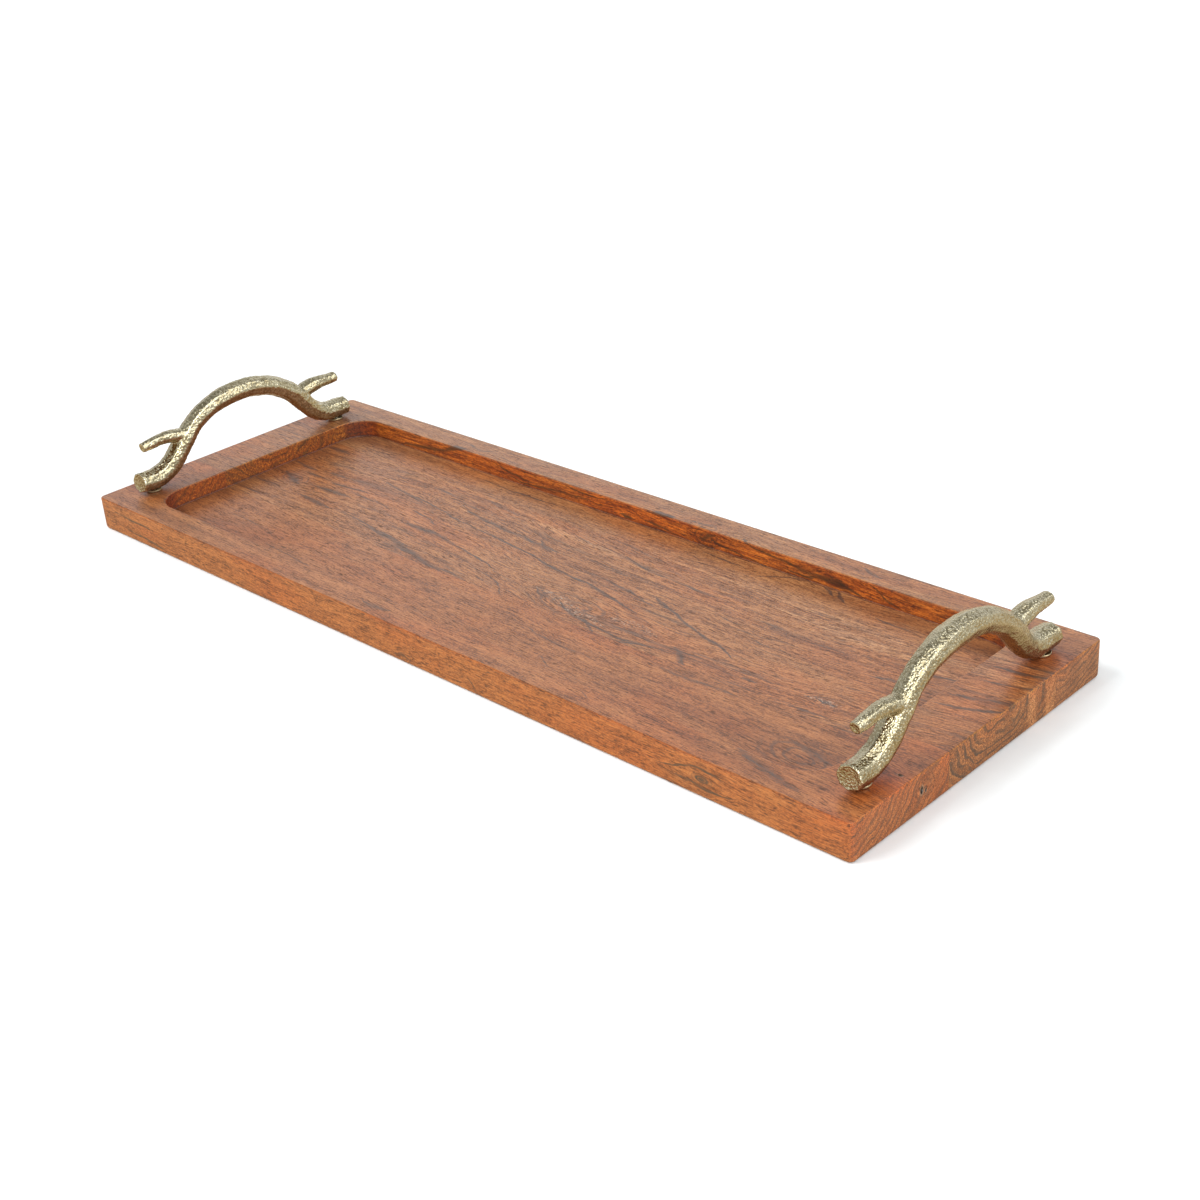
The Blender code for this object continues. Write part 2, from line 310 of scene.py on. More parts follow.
class Graph:
    """A node tree built by calls that each return the new node's output socket."""

    def __init__(self, tree):
        self.tree = tree

    def add(self, kind, inputs, output=0, **settings):
        node = self.tree.nodes.new(kind)
        for name, value in settings.items():
            setattr(node, name, value)
        for key, value in inputs.items():
            if isinstance(value, bpy.types.NodeSocket):
                self.tree.links.new(value, node.inputs[key])
            else:
                node.inputs[key].default_value = value
        return node.outputs[output]

    def math(self, operation, *values, clamp=False):
        return self.add("ShaderNodeMath", dict(enumerate(values)), operation=operation,
                        use_clamp=clamp)

    def times(self, first, second, clamp=False):
        return self.math("MULTIPLY", first, second, clamp=clamp)

    def times_plus(self, first, second, third):
        """first times second, plus third."""
        return self.math("MULTIPLY_ADD", first, second, third)

    def plus(self, first, second):
        return self.math("ADD", first, second)

    def minus(self, first, second):
        return self.math("SUBTRACT", first, second)

    def larger(self, first, second):
        return self.math("MAXIMUM", first, second)

    def absolute(self, value):
        return self.math("ABSOLUTE", value)

    def vector(self, operation, *values, output=0):
        return self.add("ShaderNodeVectorMath", dict(enumerate(values)), output,
                        operation=operation)

    def scaled(self, vector, amount):
        return self.add("ShaderNodeVectorMath", {0: vector, "Scale": amount},
                        operation="SCALE")

    def split(self, vector):
        node = self.tree.nodes.new("ShaderNodeSeparateXYZ")
        self.tree.links.new(vector, node.inputs[0])
        return tuple(node.outputs)

    def join(self, x, y, z):
        return self.add("ShaderNodeCombineXYZ", {0: x, 1: y, 2: z})

    def noise(self, vector, detail=2.0, rough=0.5, output="Fac"):
        return self.add("ShaderNodeTexNoise", {"Vector": vector, "Scale": 1.0,
                                               "Detail": detail, "Roughness": rough}, output)

    def noise_line(self, value, detail=1.0, rough=0.5):
        """Noise that varies with one number, such as the distance from the pith."""
        return self.add("ShaderNodeTexNoise", {"W": value, "Scale": 1.0, "Detail": detail,
                                               "Roughness": rough}, noise_dimensions="1D")

    def step(self, value, low, high):
        """0 below low, 1 above high and smooth between; low may be the larger one."""
        return self.add("ShaderNodeMapRange", {"Value": value, "From Min": low,
                                               "From Max": high}, interpolation_type="SMOOTHSTEP")

    def blend(self, factor, first, second, mode="MIX"):
        return self.add("ShaderNodeMix", {0: factor, 6: first, 7: second}, output=2,
                        data_type="RGBA", blend_type=mode)

    def cover(self, factor, colour, over):
        return self.blend(factor, colour, (*over, 1))

    def tint(self, factor, colour, by):
        return self.blend(factor, colour, (*by, 1), mode="MULTIPLY")

    def ramp(self, value, stops):
        node = self.tree.nodes.new("ShaderNodeValToRGB")
        band = node.color_ramp
        while len(band.elements) < len(stops):
            band.elements.new(0.5)
        for element, (position, colour) in zip(band.elements, stops):
            element.position = position
            element.color = (*colour, 1)
        self.tree.links.new(value, node.inputs[0])
        return node.outputs[0]

    def feed(self, shader, **sockets):
        """Links values to the shader's inputs, which are named in words joined by _."""
        for name, value in sockets.items():
            self.tree.links.new(value, shader.inputs[name.replace("_", " ")])

    def relief(self, shader, height, strength, depth):
        """Gives the shader a fine bump, its depth in mm."""
        self.feed(shader, Normal=self.add("ShaderNodeBump", {
            "Height": height, "Strength": strength, "Distance": depth * MM}, "Normal"))


def new_material(name):
    """A material with an empty graph; returns it, its graph and its shader node."""
    material = bpy.data.materials.new(name)
    material.use_nodes = True
    return material, Graph(material.node_tree), material.node_tree.nodes["Principled BSDF"]


def millimetres(graph):
    place = graph.add("ShaderNodeTexCoord", {}, "Object")
    return graph.scaled(place, 1000.0)


def float_curve(graph, value, span, height, points):
    """A smooth curve of value, whose points lie within span across and height up."""
    node = graph.tree.nodes.new("ShaderNodeFloatCurve")
    curve = node.mapping.curves[0]
    for a, b in points[2:]:
        curve.points.new(0.5, 0.5)
    for place, (a, b) in zip(curve.points, points):
        place.location = ((a - span[0]) / (span[1] - span[0]),
                          (b - height[0]) / (height[1] - height[0]))
        place.handle_type = "AUTO_CLAMPED"
    node.mapping.update()
    share = graph.add("ShaderNodeMapRange", {"Value": value, "From Min": span[0],
                                             "From Max": span[1]})
    graph.tree.links.new(share, node.inputs["Value"])
    return graph.add("ShaderNodeMapRange", {"Value": node.outputs[0], "To Min": height[0],
                                            "To Max": height[1]}, clamp=False)


def drawn(graph, along, across, tracks, height, spread=1.0):
    """How far inside the nearest drawn line a point is: 0 outside, 1 on its middle.

    A track is a row of lines, one after another, and each line's knots are (along, across,
    half width) in mm. height is the range of across, and spread widens them all.
    """
    total = 0.0
    for track in tracks:
        knots = [knot for line in track for knot in line]
        middles = [(a, b) for a, b, width in knots]
        widths = [(a, width * spread) for a, b, width in knots]
        middle = float_curve(graph, along, BOARD_SPAN, height, middles)
        width = float_curve(graph, along, BOARD_SPAN, (0, 10 * spread), widths)
        distance = graph.absolute(graph.minus(across, middle))
        inside = graph.math("DIVIDE", graph.minus(width, distance), graph.larger(width, 0.05),
                            clamp=True)
        total = graph.larger(total, inside)
    return total


# ---------------------------------------------------------------- wood

WALL_X = RECESS_LENGTH / 2 / MM
WALL_Y = RECESS_WIDTH / 2 / MM
FOOT_PLACE = (245, 60)          # the handles' feet, in mm from the board's centre lines
FOOT_SHADE_SIZE = (13, 12)            # half size in mm of the painted shade and handle reflection round each
RING_PITCH = 3.3                # mm between growth rings
RIPPLE_STRENGTH = 0.58          # of the curled grain round a knot with no heart
OIL_IOR = 1.62

# Colours laid over the wood, then tints multiplied into it
DARK_GRAIN = (0.065, 0.043, 0.035)
PORE = (0.06, 0.022, 0.009)
DARK_SPECK = (0.05, 0.04, 0.035)
PALE_SPECK = (0.40, 0.29, 0.22)
PIT_RIM = (0.21, 0.13, 0.085)
# painted shadow inside the hollows of loose knots
PIT_PAINTED_SHADOW = (0.03, 0.026, 0.024)
PALE_TINT = (1.22, 1.42, 1.75)
STAIN_TINT = (0.72, 0.66, 0.66)
BLUSH_TINT = (1.04, 0.82, 0.62)
# painted shade: the recess's end walls darker and redder than the outer ends of the same wood
END_WALL_SHADE_TINT = (0.82, 1.08, 1.26)
# streaked grain on the inner walls, with painted shade making them darker and redder
WALL_STREAKS_AND_SHADE = ((0.36, (0.62, 0.30, 0.14)), (0.5, (1.14, 0.66, 0.23)), (0.64, (1.55, 1.00, 0.35)))
# painted shade in the recess's rounded corners
CORNER_SHADE_TINT = (0.72, 0.55, 0.55)
# painted shadow: a dark line along the foot of the recess wall
WALL_FOOT_SHADOW_TINT = (0.50, 0.42, 0.38)
# painted shade: the right rim warmer and less pale, as if the handle hid the sky mirrored in the
# oil
RIGHT_RIM_SHADE_TINT = (1.08, 0.98, 0.88)
# painted shade and reflection: the top darker and redder round each handle foot
FOOT_SHADE_TINT = (1.15, 0.78, 0.50)
# painted light: the outer sides redder and warmer than the top of the same wood
SIDE_LIGHT_TINT = (1.14, 0.99, 0.68)
# painted highlight: a saturated orange line along the eased top edges
EDGE_HIGHLIGHT_TINT = (0.90, 0.72, 0.28)
# the painted highlight line, paler along the right end's edges
RIGHT_EDGE_HIGHLIGHT_TINT = (1.20, 1.45, 1.30)

# How strongly each layer of a stave's grain shows
Figure = namedtuple("Figure", "bands fibres mottle streaks flecks rings")

# Drawn lines, as (x, y, half width) on the recess floor and the rim. Lines in a row of
# brackets follow one another along the board.
BOARD_SPAN = (-256, 256)
CENTRE_HEIGHT = (-40, 60)
CENTRE_BOLD = (
    (((-181, 13, 0), (-168, 14.2, 1.3), (-146, 15, 0)),
     ((-83, 2, 0), (-40, -4.5, 0.8), (-19, -8, 0)),
     ((55, 17, 0), (73, 12, 1.1), (93, 4, 1.0), (117, -2, 0.9), (137, -8, 0)),
     ((225, 1, 0), (240, 5, 1.5), (256, 12, 1.0))),
    (((-138, 29, 0), (-110, 25.5, 0.7), (-76, 20, 0.7), (-30, 15.5, 1.0), (0, 10.5, 1.1),
      (25, 7.5, 1.1), (50, 2.5, 1.0), (67, -2, 0)),
     ((67, -26, 0), (87, -22, 1.1), (102, -18, 0)),
     ((226, 27, 0), (240, 30, 0.8), (256, 34, 1.0))),
    (((-146, -8, 0), (-106, -13.5, 0.9), (-66, -17, 0)),
     ((6, -10, 0), (12, -13, 1.2), (22, -14, 0)),
     ((226, 40, 0), (240, 42, 1.3), (256, 45, 1.0))),
    (((26, -13, 0), (33, -17, 1.2), (43, -19.5, 1.5), (56, -21.5, 1.0), (74, -23, 0.9),
      (92, -20, 0)),
     ((177, -11.8, 0), (184, -12.5, 1.3), (190, -12.5, 0))),
)
CENTRE_SOFT = (
    (((-195, 20.5, 0), (-184, 21.5, 1.6), (-174, 21.5, 0)),
     ((-163, 31.5, 0), (-138, 28.7, 1.2), (-105, 24, 0)),
     ((-32, 29, 0), (-22, 24, 2.0), (-12, 22, 0)),
     ((0, 18, 0), (25, 16.5, 0.8), (50, 13, 0.9), (77, 8, 0)),
     ((93, 20.7, 0), (103, 20, 0.8), (115, 19, 0)),
     ((122, 11.5, 0), (130, 11.2, 0.6), (140, 11, 0)),
     ((180, 16, 0), (194, 19, 1.0), (204, 22, 0))),
    (((-226, 21, 0), (-210, 19.5, 1.5), (-196, 19, 0)),
     ((-190, 5, 0), (-172, 5.5, 2.6), (-150, 5.5, 0)),
     ((-120, 16, 0), (-100, 13, 1.1), (-84, 9.5, 0)),
     ((58, 18, 0), (66, 14, 1.6), (78, 10.5, 0)),
     ((138, -13.5, 0), (147, -13, 0.9), (157, -12.5, 0)),
     ((190, 30, 0), (207, 33, 1.1), (226, 37, 0))),
    (((-216, 8, 0), (-203, 4, 3.4), (-192, 1, 0)),
     ((-148, 12.5, 0), (-135, 10.5, 0.8), (-121, 8, 0)),
     ((-110, 38.5, 0), (-84, 31, 1.1), (-43, 26.5, 1.8), (2, 24, 0)),
     ((14, 41, 0), (33, 36.5, 1.0), (72, 33, 0)),
     ((140, -17.5, 0), (146, -17, 0.8), (152, -17, 0)),
     ((226, 10, 0), (240, 14, 1.6), (256, 21, 1.2))),
    (((-226, -7, 0), (-210, -7.5, 1.3), (-194, -8, 0)),
     ((-188, -8, 0), (-168, -9, 2.4), (-148, -10, 0)),
     ((-112, 0, 0), (-85, 2, 2.6), (-58, -1, 0)),
     ((48, -20, 0), (56, -24, 0.9), (64, -27, 0)),
     ((98, -14, 0), (108, -19, 3.4), (116, -24, 0)),
     ((168, -22.7, 0), (180, -22.4, 0.8), (194, -22, 0))),
    (((-218, -20, 0), (-208, -20.5, 1.0), (-198, -21, 0)),
     ((-137, -13, 0), (-96, -16, 2.0), (-66, -22, 2.2), (-30, -27, 0)),
     ((226, 47, 0), (240, 48.5, 1.0), (256, 51, 1.5))),
    (((-224, 46, 0), (-212, 46, 2.8), (-203, 45.5, 0)),
     ((-48, -11.5, 0), (-18, -16, 0.6), (-2, -26, 0.9))),
)


# The short cracks and knot marks of the other two staves: (x, y) from above, (x, z) from the
# front
BACK_HEIGHT = (40, 90)
BACK_FLOOR = (
    (((84, 62, 0), (92, 66.5, 0.8), (103.5, 71.8, 1.0), (108, 72.5, 0)),
     ((124, 72.5, 0), (129, 68.5, 1.6), (134.5, 65.4, 0.7), (138, 63, 0)),
     ((150, 62, 0), (165, 60, 0.6), (180, 60, 0))),
    (((-150, 83, 0), (-138, 81, 0.8), (-125, 78.5, 1.4), (-117, 82, 0)),
     ((24, 74.5, 0), (30, 76, 1.2), (40, 77, 1.6), (50, 78, 0)),
     ((116, 72.5, 0), (121, 70.5, 1.3), (128, 66, 0))),
    (((-120, 66, 0), (-80, 64, 0.7), (-30, 66, 0)),
     ((40, 68, 0), (62, 66, 0.8), (78, 66, 0)),
     ((128, 84.5, 0), (137, 81.7, 1.3), (146, 79.5, 0))),
)
WALL_HEIGHT = (0, 20)
BACK_WALL = (
    (((-192, 10, 0), (-172, 12, 1.0), (-156, 14.3, 1.6), (-138, 18.5, 1.2), (-130, 19, 0)),
     ((-117, 18, 0), (-96, 14, 0.8), (-70, 12, 0)),
     ((-16, 11, 0), (-11, 11, 1.4), (-5, 11.4, 0)),
     ((60, 19, 0), (75, 17, 0.5), (91, 15, 0.7), (112, 13.4, 1.0), (122, 13, 2.4),
      (131, 11.5, 1.4), (142, 9, 0))),
    (((-60, 18, 0), (-40, 16, 0.7), (-16, 16, 0)),
     ((-1, 17.5, 0), (14, 18, 0.8), (31, 19.5, 0)),
     ((38, 12, 0), (44, 14.5, 1.8), (51, 16, 0)),
     ((82, 11.5, 0), (100, 11.3, 0.6), (116, 12.2, 1.0), (126, 12.6, 1.6), (136, 10.5, 0)),
     ((141, 18, 0), (151, 13, 0.8), (162, 9.6, 0))),
    (((-110, 12, 0), (-80, 11, 0.6), (-44, 13, 0.5), (-20, 12, 0)),
     ((-4, 12.6, 0), (14, 11.2, 0.7), (33, 9.8, 0)),
     ((44, 14, 0), (52, 12, 0.9), (70, 10.5, 0.6), (84, 9.6, 0))),
)
FRONT_HEIGHT = (-90, -20)
FRONT_TOP = (
    (((-150, -58, 0), (-110, -62, 0.8), (-80, -66, 0)),
     ((-40, -80, 0), (-28, -82, 2.0), (-14, -80, 0)),
     ((55, -57, 0), (62, -59, 0.8), (70, -62, 0)),
     ((100, -31, 0), (117, -32.5, 1.0), (138, -31, 1.2), (160, -31, 0)),
     ((185, -43, 0), (205, -47, 2.4), (222, -50, 0)),
     ((245, -50.5, 0), (247.5, -51, 1.0), (250, -51.5, 0))),
    (((-200, -45, 0), (-170, -47, 0.6), (-140, -48, 0)),
     ((20, -40, 0), (50, -44, 0.9), (90, -45, 0)),
     ((106, -79, 0), (110, -81, 0.8), (114, -83, 0)),
     ((168, -70, 0), (200, -78, 2.6), (228, -84, 0))),
)
FRONT_SIDE = (
    (((-246, 14, 0), (-215, 12, 0.8), (-200, 12, 0)),
     ((-8, 3, 0), (-2, 4, 1.3), (4, 2.6, 0)),
     ((43, 7.5, 0), (47, 4.5, 0.9), (51, 1.5, 0)),
     ((57, 15.8, 0), (58.5, 15.6, 0.7), (60, 15.4, 0)),
     ((150, 8, 0), (172, 12, 0.8), (182, 14, 0.8), (192, 12, 0))),
    (((-240, 6, 0), (-205, 4, 0.8), (-190, 3, 0)),
     ((160, 5, 0), (174, 6, 0.8), (184, 4.6, 0.8), (200, 8, 0))),
)


# Paler sapwood along the far side of the centre stave, as (x, y, half width)
CENTRE_PALE = (
    (((20, 51.5, 0), (50, 51, 1.8), (100, 50.5, 2.6), (150, 50, 3.6), (200, 48, 5),
      (256, 48, 6)),),
    (((-70, 44, 0), (-20, 42, 3), (40, 38, 0)), ((90, 43, 0), (150, 41, 5), (226, 36, 5))),
)


# Broad darker patches, as (x, y, half width) from above
FRONT_STAIN = (
    (((60, -50, 0), (110, -53, 5), (150, -52, 8), (195, -56, 12), (215, -48, 10), (232, -44, 0)),
     ((-256, -60, 16), (-200, -60, 18), (-150, -58, 10), (-110, -56, 0))),
    (((-256, -82, 4), (-190, -82, 5), (-130, -80, 0)),
     ((120, -76, 0), (190, -82, 6), (230, -82, 0))),
)
BACK_STAIN = (
    (((-256, 66, 8), (-200, 66, 9), (-120, 68, 0)), ((90, 66, 0), (150, 66, 8), (230, 66, 8))),
    (((-256, 80, 4), (-130, 81, 3), (-30, 80, 4), (110, 81, 4), (230, 81, 5)),),
)
CENTRE_STAIN = (
    (((-226, 8, 0), (-200, 5, 7), (-176, 3, 0)), ((-110, 12, 0), (-75, 7, 5), (-45, 3, 0)),
     ((52, 0, 0), (68, -4, 4), (84, -8, 0)), ((90, -17, 0), (112, -17, 5), (150, -20, 0)),
     ((180, 8, 0), (215, 10, 5), (256, 16, 4))),
    (((-180, 26, 0), (-130, 24, 5), (-90, 20, 0)), ((-30, 22, 0), (15, 18, 5), (60, 12, 0)),
     ((110, 22, 0), (150, 24, 4), (190, 22, 0)), ((226, 44, 0), (256, 49, 4))),
)

# Where grey specks gather along the knots of the centre stave
CENTRE_SPECKS = (
    (((4, -9, 0), (20, -11, 3.5), (38, -15.5, 5.5), (54, -18.5, 3), (68, -20, 0)),
     ((170, -13, 0), (181, -12, 4), (192, -12, 0))),
    (((56, -11, 0), (72, -10, 4), (88, -12, 0)),),
)


def centre_marks(graph, x, y, z, across):
    above = graph.step(z, 3.0, 7.0)
    bold = drawn(graph, x, across, CENTRE_BOLD, CENTRE_HEIGHT, 1.15)
    soft = drawn(graph, x, across, CENTRE_SOFT, CENTRE_HEIGHT, 1.25)
    return graph.times(above, graph.larger(bold, graph.times(soft, 0.66)))


def back_marks(graph, x, y, z, across):
    lifted = graph.plus(z, graph.minus(across, y))
    floor = drawn(graph, x, across, BACK_FLOOR, BACK_HEIGHT, 1.2)
    wall = drawn(graph, x, lifted, BACK_WALL, WALL_HEIGHT, 1.2)
    off_wall = graph.step(graph.absolute(graph.minus(y, WALL_Y)), 0.5, 1.0)
    fainter_on_rim = graph.times_plus(graph.step(z, 12.0, 15.0), -0.4, 1.0)
    floor = graph.times(floor, graph.times(off_wall, fainter_on_rim))
    on_wall = graph.times(graph.step(y, WALL_Y - 2, WALL_Y - 1),
                          graph.step(y, WALL_Y + 3, WALL_Y + 2))
    return graph.larger(floor, graph.times(wall, on_wall))


def front_marks(graph, x, y, z, across):
    lifted = graph.plus(z, graph.minus(across, y))
    top = drawn(graph, x, across, FRONT_TOP, FRONT_HEIGHT, 1.3)
    side = drawn(graph, x, lifted, FRONT_SIDE, WALL_HEIGHT, 1.2)
    top = graph.times(graph.times(top, 0.5), graph.step(z, 3.0, 7.0))
    return graph.larger(top, graph.times(side, graph.step(y, -86.0, -88.0)))


def around_knots(graph, place, across, upright, knots):
    """Bends the grain round each knot, and returns it with the darkness of the knots.

    A knot is (centre, size, push, heart). It has a dark heart that fills this share of it, or
    where heart is 0 only faint ripples.
    """
    hearts = 0.0
    for centre, size, push, heart in knots:
        away = graph.vector("SUBTRACT", place, centre)
        away_x, away_y, away_z = graph.split(away)
        scaled = graph.vector("DIVIDE", away, size)
        squared = graph.vector("DOT_PRODUCT", scaled, scaled, output="Value")
        near = graph.math("EXPONENT", graph.times(squared, -1.0))
        across = graph.minus(across, graph.times(near, graph.times(away_y, push)))
        upright = graph.minus(upright, graph.times(near, graph.times(away_z, push)))
        distance = graph.math("SQRT", squared)
        if heart:
            rings = graph.noise_line(graph.times(distance, 9.0))
            core = graph.times(graph.step(squared, heart, heart * 0.2),
                               graph.step(rings, 0.35, 0.6))
            hearts = graph.larger(hearts, core)
        else:
            wavy = graph.noise(graph.vector("MULTIPLY", place, (0.05, 0.13, 0.1)))
            ripple = graph.math("SINE", graph.times_plus(wavy, 14.0, graph.times(distance, 22.0)))
            ripple = graph.times(graph.step(ripple, 0.2, 0.95), graph.step(near, 0.25, 0.7))
            hearts = graph.larger(hearts, graph.times(ripple, RIPPLE_STRENGTH))
    return across, upright, hearts


class Wood:
    """One stave's oiled acacia, as a solid texture whose layers are laid one on another.

    place is the point in mm. fibre_place is the same with its y and z bent along the grain,
    radius its distance from the pith and hearts the darkness of the knots.
    """

    def __init__(self, name, seed, height):
        self.material, self.graph, self.shader = new_material(name)
        self.seed = seed
        self.height = height
        self.place = millimetres(self.graph)
        self.x, self.y, self.z = self.graph.split(self.place)
        normal = self.graph.add("ShaderNodeTexCoord", {}, "Normal")
        self.normal_x, self.normal_y, self.normal_z = self.graph.split(normal)
        self.end_grain = self.graph.step(self.graph.absolute(self.normal_x), 0.45, 0.95)

    def cloud(self, scale, detail, seeded=False, **settings):
        """Noise in the tray's own space, with these many cells to the mm along X, Y and Z."""
        offset = self.seed if seeded else (0, 0, 0)
        spot = self.graph.vector("MULTIPLY_ADD", self.place, scale, offset)
        return self.graph.noise(spot, detail, **settings)

    def fibres(self, along, width, detail, rough):
        """Noise in threads that follow the grain, this long and this wide in mm."""
        scale = (1 / along, 1 / width, 1 / width)
        spot = self.graph.vector("MULTIPLY_ADD", self.fibre_place, scale, self.seed)
        return self.graph.noise(spot, detail, rough)

    def patches(self, tracks):
        return drawn(self.graph, self.x, self.y, tracks, self.height)

    def lay_grain(self, pith, stretch, drift, knots):
        """pith is (y, z), stretch how much wider than high the rings round it are, and drift
        how far the grain strays in Y, as (x, distance)."""
        graph = self.graph
        slow = self.cloud((0.008, 0.026, 0.03), 2.0, seeded=True, output="Color")
        slow = graph.split(graph.vector("SUBTRACT", slow, (0.5, 0.5, 0.5)))
        curl = self.cloud((0.05, 0.09, 0.09), 2.0, seeded=True)
        shift = float_curve(graph, self.x, BOARD_SPAN, (-20, 20), drift)
        across = graph.times_plus(slow[1], 12.0, graph.minus(self.y, shift))
        across = graph.times_plus(graph.minus(curl, 0.5), 3.0, across)
        upright = graph.times_plus(slow[2], 7.0, self.z)
        across, upright, self.hearts = around_knots(graph, self.place, across, upright, knots)
        self.fibre_place = graph.join(self.x, across, upright)
        pith_y = graph.math("DIVIDE", graph.minus(across, pith[0]), stretch)
        from_pith = graph.join(0.0, pith_y, graph.minus(upright, pith[1]))
        self.radius = graph.vector("LENGTH", from_pith, output="Value")

    def ground(self, tones, figure, pale_band, stain):
        """Bands, fibres and mottle between the three tones, then pale, dark and red patches."""
        graph = self.graph
        wide_bands = graph.noise_line(graph.times(self.radius, 0.17))
        bands = graph.noise_line(graph.times(self.radius, 0.6), detail=2.0)
        self.coarse = self.fibres(40, 1.0, 3.0, 0.62)
        self.fine = self.fibres(10, 0.42, 2.0, 0.6)
        spot = graph.vector("MULTIPLY_ADD", self.fibre_place, (0.07, 0.15, 0.17), self.seed)
        self.mottle = graph.noise(spot, detail=4.0, rough=0.62)
        self.speckle = self.cloud((0.9, 1.5, 1.5), 2.0, rough=0.65)
        level = 0.5
        for part, weight in ((bands, 0.7 * figure.bands), (wide_bands, 1.1 * figure.bands),
                             (self.coarse, figure.fibres), (self.fine, 1.9),
                             (self.mottle, figure.mottle), (self.speckle, 1.6)):
            level = graph.times_plus(graph.minus(part, 0.5), weight, level)
        colour = graph.ramp(level, [(0.02, tones[0]), (0.5, tones[1]), (0.98, tones[2])])

        self.pale = graph.times(graph.step(self.patches(pale_band), 0.0, 0.7), 0.8)
        colour = graph.tint(self.pale, colour, PALE_TINT)
        blotched = graph.times_plus(graph.minus(self.mottle, 0.5), 1.6, self.patches(stain))
        stained = graph.times(graph.step(blotched, 0.0, 0.8), graph.step(self.z, 3.0, 7.0))
        colour = graph.tint(graph.times(stained, 0.75), colour, STAIN_TINT)
        blush = self.cloud((0.013, 0.035, 0.04), 3.0, seeded=True)
        blush = graph.times(graph.step(blush, 0.46, 0.64), 0.6)
        return graph.tint(blush, colour, BLUSH_TINT)

    def grown_streaks(self, strength):
        """Smoky patches and fine dark hairs along the grain."""
        graph = self.graph
        patch = self.fibres(120, 26, 1.0, 0.5)
        smoke = graph.times(graph.step(self.fibres(75, 4.2, 4.0, 0.62), 0.53, 0.74),
                            graph.step(patch, 0.30, 0.58))
        hairs = graph.times(graph.step(self.fibres(55, 0.7, 2.0, 0.6), 0.54, 0.65),
                            graph.step(self.mottle, 0.30, 0.55))
        return graph.times(graph.larger(graph.times(hairs, 0.6), smoke), strength)

    def end_rings(self, strength):
        """Growth rings and dots on the end grain, fainter on the recess's end walls."""
        graph = self.graph
        wander = self.cloud((0.02, 0.07, 0.07), 2.0)
        wavering = graph.times_plus(wander, 16.0, graph.times(self.speckle, 1.6))
        turns = graph.times_plus(self.radius, 2 * math.pi / RING_PITCH, wavering)
        thick = graph.step(graph.math("SINE", turns), 0.0, 0.9)
        thin = graph.step(graph.math("SINE", graph.times(turns, 2.3)), 0.0, 0.9)
        broken = graph.step(self.mottle, 0.32, 0.56)
        rings = graph.times_plus(graph.times(thick, broken), 0.85, graph.times(thin, 0.4))
        dots = self.cloud((0.8, 2.0, 2.0), 1.0)
        rings = graph.times_plus(graph.step(dots, 0.46, 0.66), 0.6, rings)
        fainter = graph.times_plus(graph.step(self.x, -240.0, -230.0), -0.25, 1.0)
        share = graph.larger(fainter, graph.step(self.x, 225.0, 235.0))
        rings = graph.times(graph.times(rings, share), graph.times(self.end_grain, strength))
        return graph.times(rings, graph.times_plus(self.pale, -1.15, 1.0))

    def own_marks(self, marks):
        """The stave's drawn marks, with wavering middles and frayed edges."""
        graph = self.graph
        wobble = self.cloud((0.06, 0.16, 0.1), 3.0, rough=0.6)
        moved = graph.times_plus(graph.minus(wobble, 0.5), 4.0, self.y)
        own = marks(graph, self.x, self.y, self.z, moved)
        fray = graph.times_plus(self.fine, 0.8, graph.times(self.speckle, 0.8))
        frayed = graph.times_plus(graph.minus(fray, 0.8), 2.0, own)
        own = graph.times(graph.step(frayed, 0.0, 0.75), graph.step(own, 0.0, 0.2))
        return graph.times(own, graph.minus(1.0, self.end_grain))

    def details(self, colour, figure, marks, specks):
        """Dark grain, dark rims round the loose knots' hollows with painted shadow inside, grey
        specks and pores.
        """
        graph = self.graph
        dark = graph.larger(self.grown_streaks(figure.streaks), self.own_marks(marks))
        dark = graph.larger(graph.larger(dark, self.hearts), self.end_rings(figure.rings))
        dark = graph.times(dark, graph.times_plus(self.fine, 1.3, 0.2), clamp=True)
        colour = graph.cover(dark, colour, DARK_GRAIN)
        for centre, size in PITS:
            away = graph.vector("DIVIDE", graph.vector("SUBTRACT", self.place, centre), size)
            away = graph.vector("LENGTH", away, output="Value")
            colour = graph.cover(graph.step(away, 1.9, 1.4), colour, PIT_RIM)
            # painted shadow: the insides of the knot hollows near black
            colour = graph.cover(graph.step(away, 1.25, 0.95), colour, PIT_PAINTED_SHADOW)
        area = graph.step(self.patches(specks), 0.0, 0.8)
        specky = self.cloud((0.7, 1.3, 1.3), 2.0, rough=0.7)
        colour = graph.cover(graph.times(area, graph.step(specky, 0.45, 0.36)), colour, DARK_SPECK)
        colour = graph.cover(graph.times(area, graph.step(specky, 0.55, 0.66)), colour, PALE_SPECK)
        pores = graph.times(graph.step(self.fibres(5.0, 0.50, 1.0, 0.5), 0.57, 0.70), 0.8)
        flecks = graph.times(graph.step(self.fibres(8, 0.6, 1.0, 0.5), 0.58, 0.70), figure.flecks)
        self.pores = graph.larger(pores, flecks)
        return graph.cover(self.pores, colour, PORE)

    def inner_wall_tints(self, colour, upright_face):
        """The recess's wall, in painted shade: darker and streaked, darker in its corners, a
        shadow line at its foot.
        """
        graph = self.graph
        size_x, size_y = graph.absolute(self.x), graph.absolute(self.y)
        inside = graph.times(graph.step(size_y, WALL_Y + 7, WALL_Y + 3),
                             graph.step(size_x, WALL_X + 11, WALL_X + 5))
        wall = graph.times(upright_face, inside)
        # painted shade on the recess's end walls
        colour = graph.tint(graph.times(wall, self.end_grain), colour, END_WALL_SHADE_TINT)
